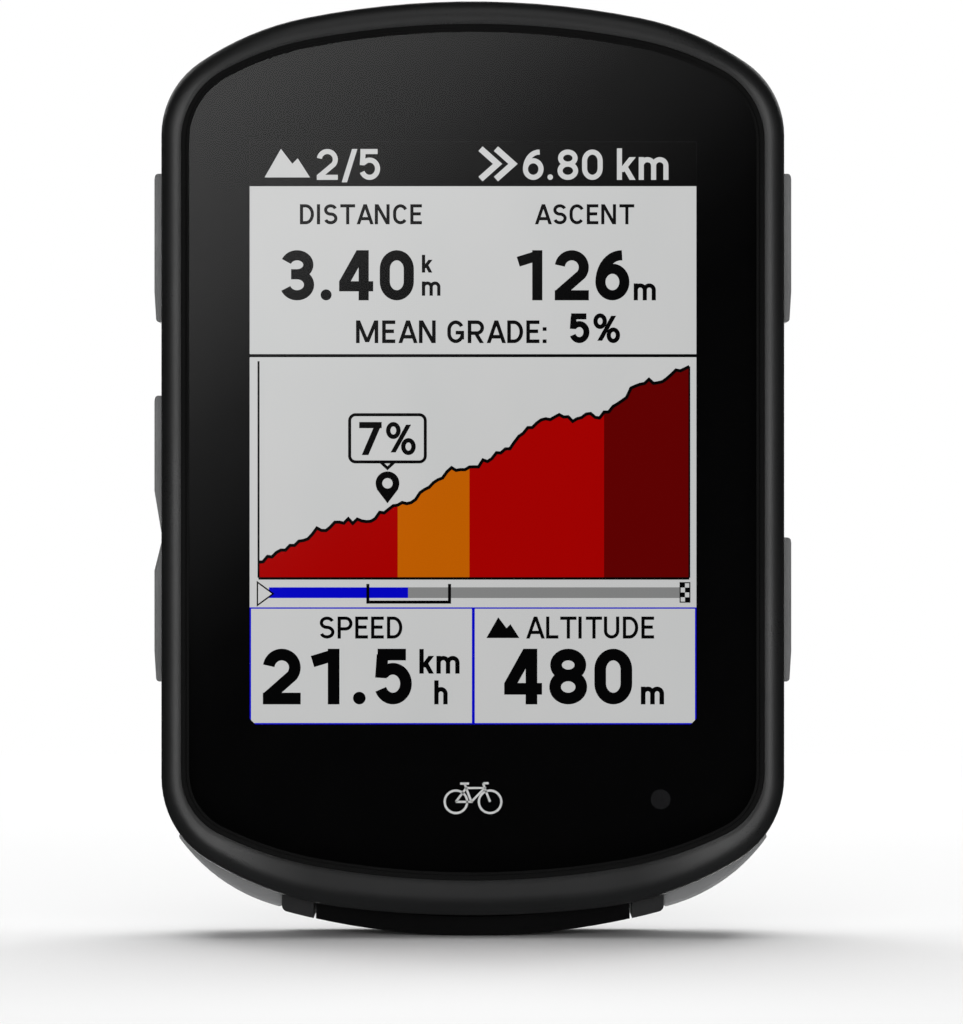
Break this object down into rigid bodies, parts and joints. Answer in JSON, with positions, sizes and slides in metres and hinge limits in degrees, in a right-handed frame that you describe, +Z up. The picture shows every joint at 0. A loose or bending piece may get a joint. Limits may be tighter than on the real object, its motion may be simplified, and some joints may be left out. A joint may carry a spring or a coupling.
{
  "type": "cycling computer",
  "caption": "Handlebar cycling computer: slim rounded case with a large colour display, edge push buttons, hinged rubber port cover and a quarter-turn mount on the back.",
  "frame": {"origin": "centre of the quarter-turn mount boss on the plane of the case's back face", "axes": "+X to the right seen from the front, +Z up along the case, +Y out of the back along the mount; the display faces -Y"},
  "size_m": [0.0582, 0.0196, 0.085],
  "materials": {
    "bezel": "satin black",
    "board": "green solder mask",
    "button": "satin dark grey",
    "cell": "pouch foil",
    "ceramic": "fired, silvered",
    "chip": "moulded black",
    "cover": "matt black",
    "display": "lit colour panel",
    "flex": "amber film",
    "foam": "foam",
    "housing": "fine textured black",
    "lens": "clear, glossy",
    "light_guide": "white",
    "mount": "moulded black",
    "screw": "black zinc",
    "seal": "matt black",
    "sheet_metal": "plain",
    "steel": "polished"
  },
  "bodies": {
    "case": {"front_housing": "bezel", "rear_housing": "housing", "housing_ribs": "housing", "port_surround": "housing", "cover_lens": "lens", "lens_gasket": "seal", "display_panel": "display", "backlight": "light_guide", "display_flex": "flex", "mid_frame": "sheet_metal", "main_board": "board", "rf_shield": "sheet_metal", "processor": "chip", "gnss_antenna": "ceramic", "pressure_sensor": "chip", "light_sensor": "chip", "battery": "cell", "battery_foam": "foam", "battery_lead": "chip", "usb_port": "steel", "usb_port_seal": "seal", "mount_insert": "mount", "mount_screws": "screw", "case_screws": "screw", "housing_gasket": "seal", "buzzer": "chip", "vent_membrane": "foam", "lanyard_bar": "steel", "left_key_flex": "flex", "right_key_flex": "flex", "lower_key_flex": "flex", "power_switch": "sheet_metal", "up_switch": "sheet_metal", "down_switch": "sheet_metal", "select_switch": "sheet_metal", "back_switch": "sheet_metal", "lap_switch": "sheet_metal", "start_switch": "sheet_metal"},
    "power_button": {"power_button_cap": "button", "power_plunger": "chip", "power_oring": "seal"},
    "up_button": {"up_button_cap": "button", "up_plunger": "chip", "up_oring": "seal"},
    "down_button": {"down_button_cap": "button", "down_plunger": "chip", "down_oring": "seal"},
    "select_button": {"select_button_cap": "button", "select_plunger": "chip", "select_oring": "seal"},
    "back_button": {"back_button_cap": "button", "back_plunger": "chip", "back_oring": "seal"},
    "lap_button": {"lap_button_cap": "button", "lap_plunger": "chip", "lap_oring": "seal"},
    "start_button": {"start_button_cap": "button", "start_plunger": "chip", "start_oring": "seal"},
    "port_cover": {"usb_cover": "cover"}
  },
  "joints": [
    {"name": "power_press", "type": "slide", "parent": "case", "child": "power_button", "axis": [1, 0, 0], "range_m": [0, 0.0005], "stiffness_N_per_m": 2000, "springref_m": -0.0003},
    {"name": "up_press", "type": "slide", "parent": "case", "child": "up_button", "axis": [1, 0, 0], "range_m": [0, 0.0005], "stiffness_N_per_m": 2000, "springref_m": -0.0003},
    {"name": "down_press", "type": "slide", "parent": "case", "child": "down_button", "axis": [1, 0, 0], "range_m": [0, 0.0005], "stiffness_N_per_m": 2000, "springref_m": -0.0003},
    {"name": "select_press", "type": "slide", "parent": "case", "child": "select_button", "axis": [-1, 0, 0], "range_m": [0, 0.0005], "stiffness_N_per_m": 2000, "springref_m": -0.0003},
    {"name": "back_press", "type": "slide", "parent": "case", "child": "back_button", "axis": [-1, 0, 0], "range_m": [0, 0.0005], "stiffness_N_per_m": 2000, "springref_m": -0.0003},
    {"name": "lap_press", "type": "slide", "parent": "case", "child": "lap_button", "axis": [0.5664, 0, 0.8241], "range_m": [0, 0.0005], "stiffness_N_per_m": 2000, "springref_m": -0.0003},
    {"name": "start_press", "type": "slide", "parent": "case", "child": "start_button", "axis": [-0.5664, 0, 0.8241], "range_m": [0, 0.0005], "stiffness_N_per_m": 2000, "springref_m": -0.0003},
    {"name": "cover_hinge", "type": "hinge", "parent": "case", "child": "port_cover", "pos_m": [0, -0.0009, -0.038], "axis": [1, 0, 0], "range_deg": [0, 90]}
  ]
}
